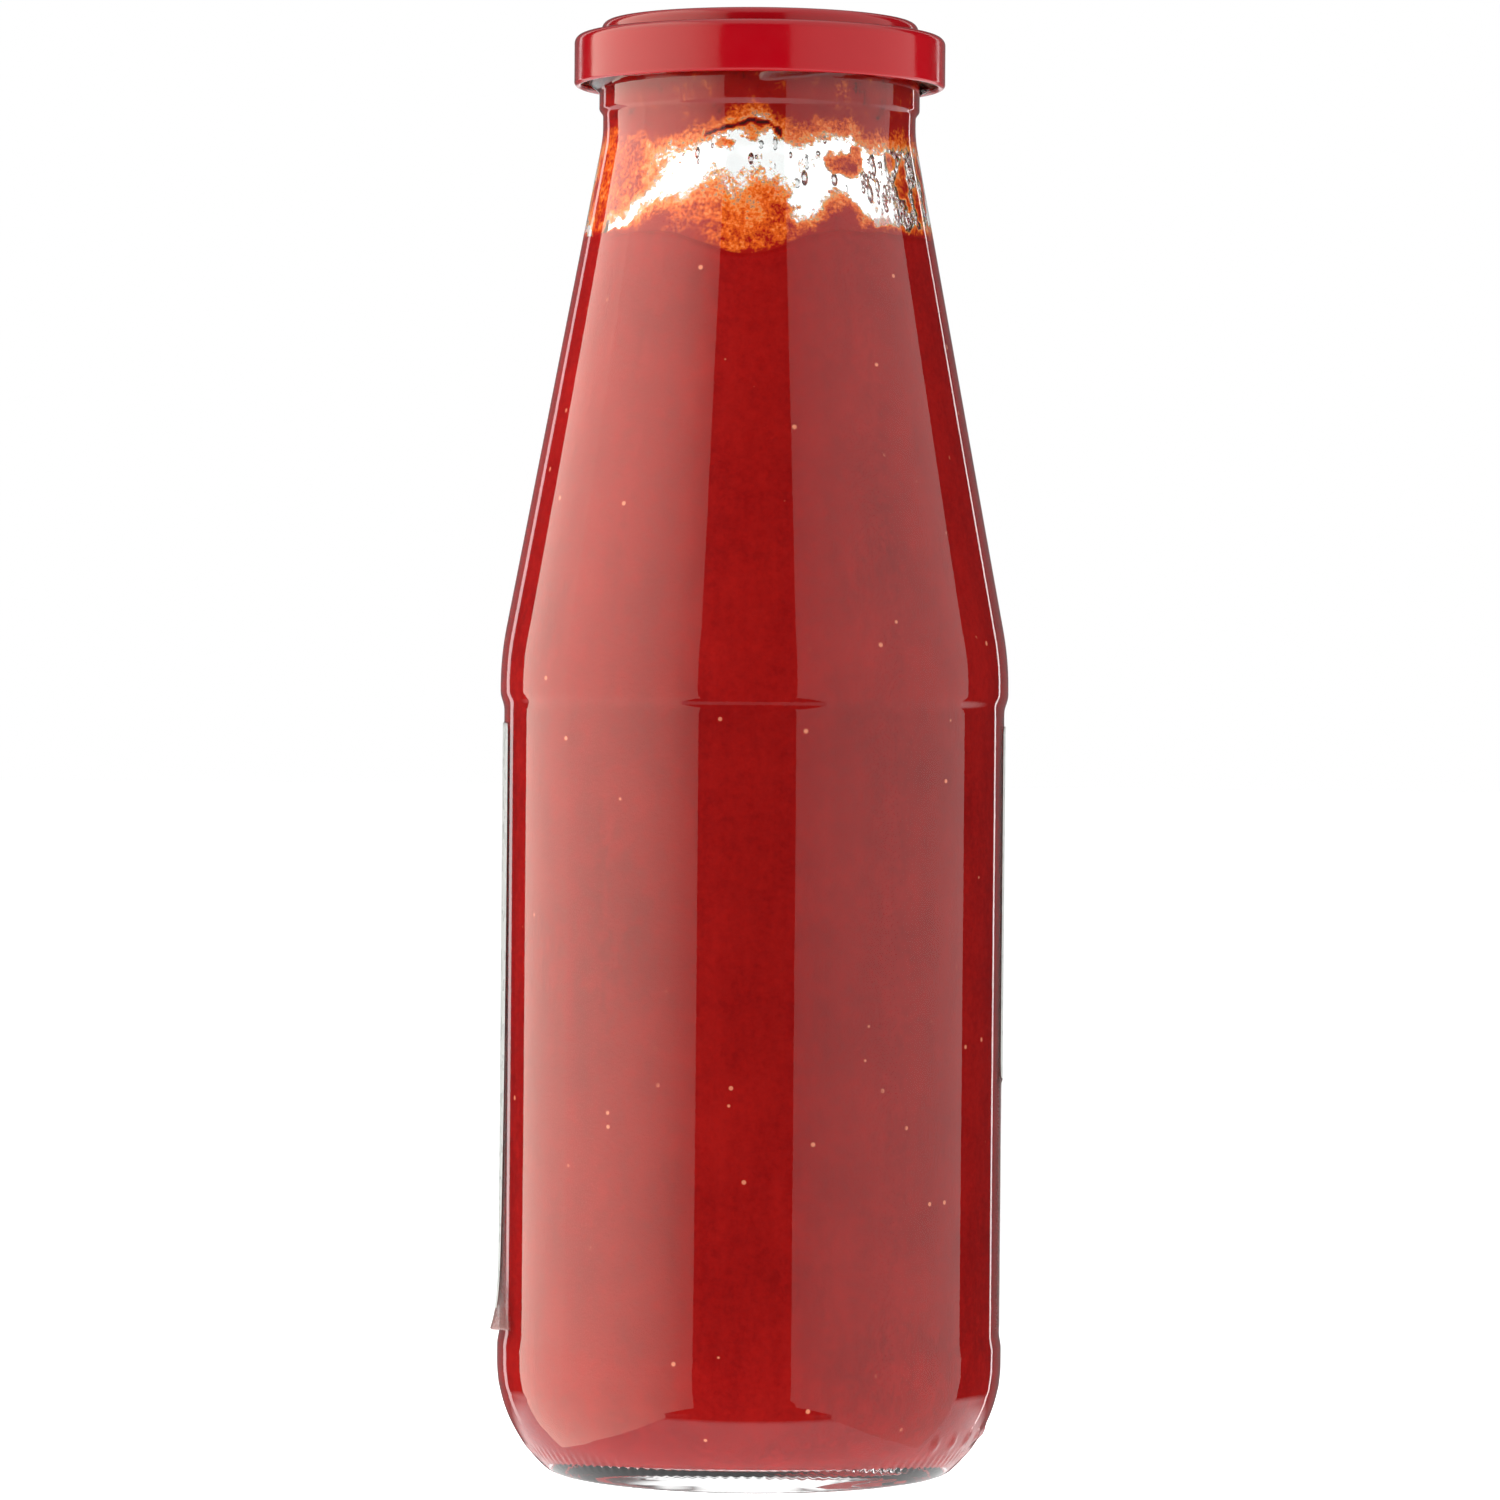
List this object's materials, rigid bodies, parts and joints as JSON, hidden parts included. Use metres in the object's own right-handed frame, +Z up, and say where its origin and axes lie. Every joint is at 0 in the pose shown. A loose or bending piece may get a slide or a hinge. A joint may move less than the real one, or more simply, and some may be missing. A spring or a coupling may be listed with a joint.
{
  "type": "passata bottle",
  "caption": "Clear glass sauce bottle with a tall cone shoulder, recessed label panel and twist-off lid, filled with tomato passata",
  "frame": {"origin": "centre of the flat bearing ring under the foot", "axes": "+Z up along the bottle's axis; the middle of the wrap label faces +Y and the bare glass between the label's ends faces -Y"},
  "size_m": [0.0786, 0.0786, 0.224],
  "materials": {
    "glass": "clear flint glass, smooth",
    "lid": "glossy red lacquer on steel",
    "passata": "wet, smooth tomato puree",
    "label": "thin glossy white paper with plain fields of colour"
  },
  "bodies": {
    "root": {"bottle": "glass", "lid": "lid", "passata": "passata", "label": "label"}
  },
  "joints": []
}
